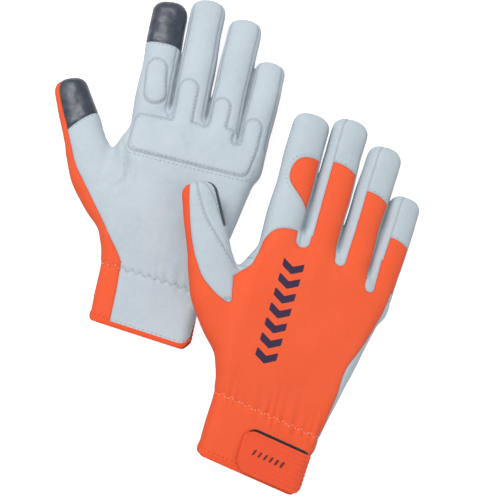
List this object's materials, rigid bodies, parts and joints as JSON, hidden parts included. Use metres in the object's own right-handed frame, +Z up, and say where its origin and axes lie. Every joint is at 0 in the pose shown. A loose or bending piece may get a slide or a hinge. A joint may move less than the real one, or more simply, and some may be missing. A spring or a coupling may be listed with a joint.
{
  "type": "pair of work gloves",
  "caption": "Pair of mechanic-style work gloves with leather palms, stretch fabric backs, padded palms and hook-and-loop cuff straps, lying one partly on the other.",
  "frame": {"origin": "middle of the footprint of the pair on the surface it lies on", "axes": "+Z up from the surface, +Y towards the fingertips of both gloves, +X from the left glove towards the right glove"},
  "size_m": [0.2703, 0.3249, 0.0489],
  "materials": {
    "palm_leather": "matt pale grey synthetic leather with a fine grain",
    "back_fabric": "bright orange stretch knit",
    "touch_leather": "smooth dark slate touch-screen leather with a soft gloss",
    "elastic": "orange ribbed elastic",
    "binding": "orange ribbed binding tape",
    "strap_fabric": "orange knit over a stiff core",
    "loop_patch": "dark brushed loop pile",
    "hook_patch": "dark hook tape"
  },
  "bodies": {
    "left_hand": {"left_palm_panel": "palm_leather", "left_back_panel": "back_fabric", "left_palm_pad": "palm_leather", "left_web_gussets": "palm_leather", "left_wrist_elastic": "elastic", "left_cuff_binding": "binding", "left_loop_patch": "loop_patch"},
    "left_strap": {"left_strap_tab": "strap_fabric", "left_hook_patch": "hook_patch"},
    "left_index": {"left_index_front": "palm_leather", "left_index_back": "palm_leather", "left_index_inset": "back_fabric", "left_index_sides": "palm_leather", "left_index_touch_patch": "touch_leather"},
    "left_middle": {"left_middle_front": "palm_leather", "left_middle_back": "back_fabric", "left_middle_cap": "palm_leather", "left_middle_sides": "palm_leather"},
    "left_ring": {"left_ring_front": "palm_leather", "left_ring_back": "back_fabric", "left_ring_cap": "palm_leather", "left_ring_sides": "palm_leather"},
    "left_little": {"left_little_front": "palm_leather", "left_little_back": "back_fabric", "left_little_cap": "palm_leather", "left_little_sides": "palm_leather"},
    "left_thumb": {"left_thumb_front": "palm_leather", "left_thumb_back": "palm_leather", "left_thumb_edge": "back_fabric", "left_thumb_touch_patch": "touch_leather"},
    "right_hand": {"right_palm_panel": "palm_leather", "right_back_panel": "back_fabric", "right_palm_pad": "palm_leather", "right_web_gussets": "palm_leather", "right_wrist_elastic": "elastic", "right_cuff_binding": "binding", "right_loop_patch": "loop_patch"},
    "right_strap": {"right_strap_tab": "strap_fabric", "right_hook_patch": "hook_patch"},
    "right_index": {"right_index_front": "palm_leather", "right_index_back": "palm_leather", "right_index_inset": "back_fabric", "right_index_sides": "palm_leather", "right_index_touch_patch": "touch_leather"},
    "right_middle": {"right_middle_front": "palm_leather", "right_middle_back": "back_fabric", "right_middle_cap": "palm_leather", "right_middle_sides": "palm_leather"},
    "right_ring": {"right_ring_front": "palm_leather", "right_ring_back": "back_fabric", "right_ring_cap": "palm_leather", "right_ring_sides": "palm_leather"},
    "right_little": {"right_little_front": "palm_leather", "right_little_back": "back_fabric", "right_little_cap": "palm_leather", "right_little_sides": "palm_leather"},
    "right_thumb": {"right_thumb_front": "palm_leather", "right_thumb_back": "palm_leather", "right_thumb_edge": "back_fabric", "right_thumb_touch_patch": "touch_leather"}
  },
  "joints": [
    {"name": "right_lift", "type": "slide", "parent": "left_hand", "child": "right_hand", "axis": [0, 0, 1], "range_m": [0, 0.15]},
    {"name": "left_index_bend", "type": "hinge", "parent": "left_hand", "child": "left_index", "pos_m": [-0.06532, 0.08497, 0.0164], "axis": [0.9971, 0.0767, 0], "range_deg": [0, 75], "stiffness_Nm_per_rad": 0.06},
    {"name": "left_middle_bend", "type": "hinge", "parent": "left_hand", "child": "left_middle", "pos_m": [-0.03856, 0.08625, 0.0164], "axis": [0.9982, 0.0593, 0], "range_deg": [0, 75], "stiffness_Nm_per_rad": 0.06},
    {"name": "left_ring_bend", "type": "hinge", "parent": "left_hand", "child": "left_ring", "pos_m": [-0.01222, 0.08448, 0.0162], "axis": [0.9998, 0.0209, 0], "range_deg": [0, 75], "stiffness_Nm_per_rad": 0.06},
    {"name": "left_little_bend", "type": "hinge", "parent": "left_hand", "child": "left_little", "pos_m": [0.01179, 0.07658, 0.016], "axis": [1, -0.0017, 0], "range_deg": [0, 75], "stiffness_Nm_per_rad": 0.06},
    {"name": "left_thumb_spread", "type": "hinge", "parent": "left_hand", "child": "left_thumb", "pos_m": [-0.10646, 0.03031, 0.011], "axis": [0, 0, 1], "range_deg": [-8, 22], "stiffness_Nm_per_rad": 0.06},
    {"name": "left_strap_open", "type": "hinge", "parent": "left_hand", "child": "left_strap", "pos_m": [-0.00807, -0.07145, 0.002], "axis": [-0.0821, -0.9966, 0], "range_deg": [0, 150]},
    {"name": "right_index_bend", "type": "hinge", "parent": "right_hand", "child": "right_index", "pos_m": [0.04507, 0.0174, 0.02283], "axis": [-0.9774, 0.0386, 0.2078], "range_deg": [0, 75], "stiffness_Nm_per_rad": 0.06},
    {"name": "right_middle_bend", "type": "hinge", "parent": "right_hand", "child": "right_middle", "pos_m": [0.07122, 0.01559, 0.01726], "axis": [-0.9765, 0.056, 0.2079], "range_deg": [0, 75], "stiffness_Nm_per_rad": 0.06},
    {"name": "right_ring_bend", "type": "hinge", "parent": "right_hand", "child": "right_ring", "pos_m": [0.09664, 0.0108, 0.01201], "axis": [-0.9736, 0.0943, 0.2078], "range_deg": [0, 75], "stiffness_Nm_per_rad": 0.06},
    {"name": "right_little_bend", "type": "hinge", "parent": "right_hand", "child": "right_little", "pos_m": [0.11909, 0.00018, 0.00729], "axis": [-0.9712, 0.1169, 0.2077], "range_deg": [0, 75], "stiffness_Nm_per_rad": 0.06},
    {"name": "right_thumb_spread", "type": "hinge", "parent": "right_hand", "child": "right_thumb", "pos_m": [-0.00009, -0.03223, 0.03719], "axis": [0.2074, -0.0145, 0.9781], "range_deg": [-8, 22], "stiffness_Nm_per_rad": 0.06},
    {"name": "right_strap_open", "type": "hinge", "parent": "right_hand", "child": "right_strap", "pos_m": [0.08558, -0.14477, 0.02656], "axis": [0.195, 0.9804, -0.0268], "range_deg": [0, 150]}
  ]
}
